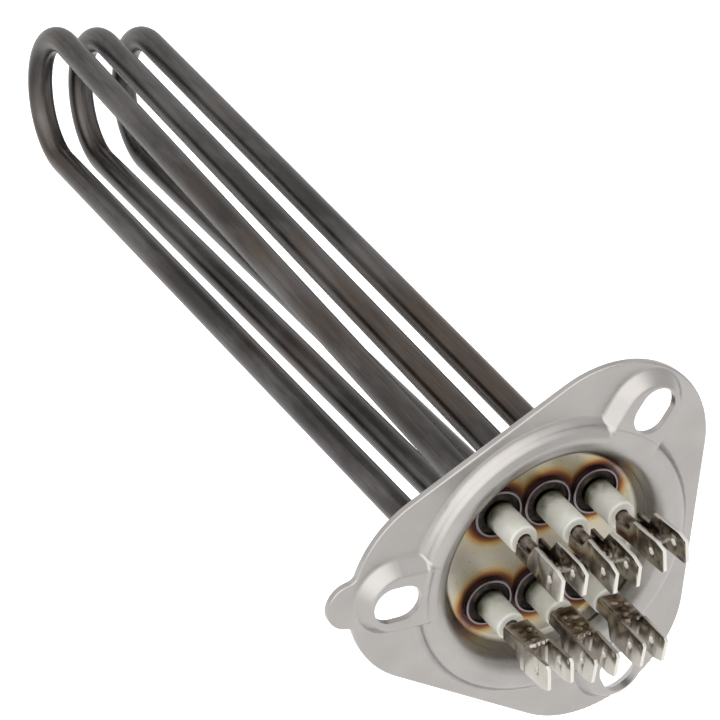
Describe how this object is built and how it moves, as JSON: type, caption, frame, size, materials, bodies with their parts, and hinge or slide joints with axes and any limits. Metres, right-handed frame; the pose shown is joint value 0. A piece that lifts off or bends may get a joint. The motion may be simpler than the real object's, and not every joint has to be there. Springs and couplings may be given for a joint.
{
  "type": "dishwasher heating element",
  "caption": "Electric water heater with parallel steel hairpin tubes brazed into a three-lobed pressed flange, with ceramic end beads and paired tab terminals.",
  "frame": {"origin": "centre of the flange's three-hole circle on its flat back face", "axes": "+Y along the tubes, away from the terminals; +Z from the lower row of tube ends to the upper row; +X along a row, away from the eared lobe"},
  "size_m": [0.0869, 0.2743, 0.0868],
  "materials": {
    "flangeSteel": "pressed stainless sheet, satin, heat-tinted straw to violet round the brazed collars",
    "sheathSteel": "drawn stainless tube, bright satin with fine draw lines, slightly tanned by annealing",
    "coilAlloy": "matt resistance wire",
    "magnesia": "compacted white powder",
    "pinSteel": "plain drawn steel",
    "beadCeramic": "unglazed white ceramic, fine matt",
    "sealResin": "dark green-black sealing resin",
    "brazeFiller": "dull dark braze fillet with flux and oxide",
    "terminalSteel": "pressed stainless strip, bright satin"
  },
  "bodies": {
    "root": {"flange": "flangeSteel", "leftSheath": "sheathSteel", "leftCoil": "coilAlloy", "leftPowder": "magnesia", "leftUpperPin": "pinSteel", "leftUpperBead": "beadCeramic", "leftUpperSeal": "sealResin", "leftUpperBraze": "brazeFiller", "leftUpperTerminal": "terminalSteel", "leftLowerPin": "pinSteel", "leftLowerBead": "beadCeramic", "leftLowerSeal": "sealResin", "leftLowerBraze": "brazeFiller", "leftLowerTerminal": "terminalSteel", "middleSheath": "sheathSteel", "middleCoil": "coilAlloy", "middlePowder": "magnesia", "middleUpperPin": "pinSteel", "middleUpperBead": "beadCeramic", "middleUpperSeal": "sealResin", "middleUpperBraze": "brazeFiller", "middleUpperTerminal": "terminalSteel", "middleLowerPin": "pinSteel", "middleLowerBead": "beadCeramic", "middleLowerSeal": "sealResin", "middleLowerBraze": "brazeFiller", "middleLowerTerminal": "terminalSteel", "rightSheath": "sheathSteel", "rightCoil": "coilAlloy", "rightPowder": "magnesia", "rightUpperPin": "pinSteel", "rightUpperBead": "beadCeramic", "rightUpperSeal": "sealResin", "rightUpperBraze": "brazeFiller", "rightUpperTerminal": "terminalSteel", "rightLowerPin": "pinSteel", "rightLowerBead": "beadCeramic", "rightLowerSeal": "sealResin", "rightLowerBraze": "brazeFiller", "rightLowerTerminal": "terminalSteel"}
  },
  "joints": []
}
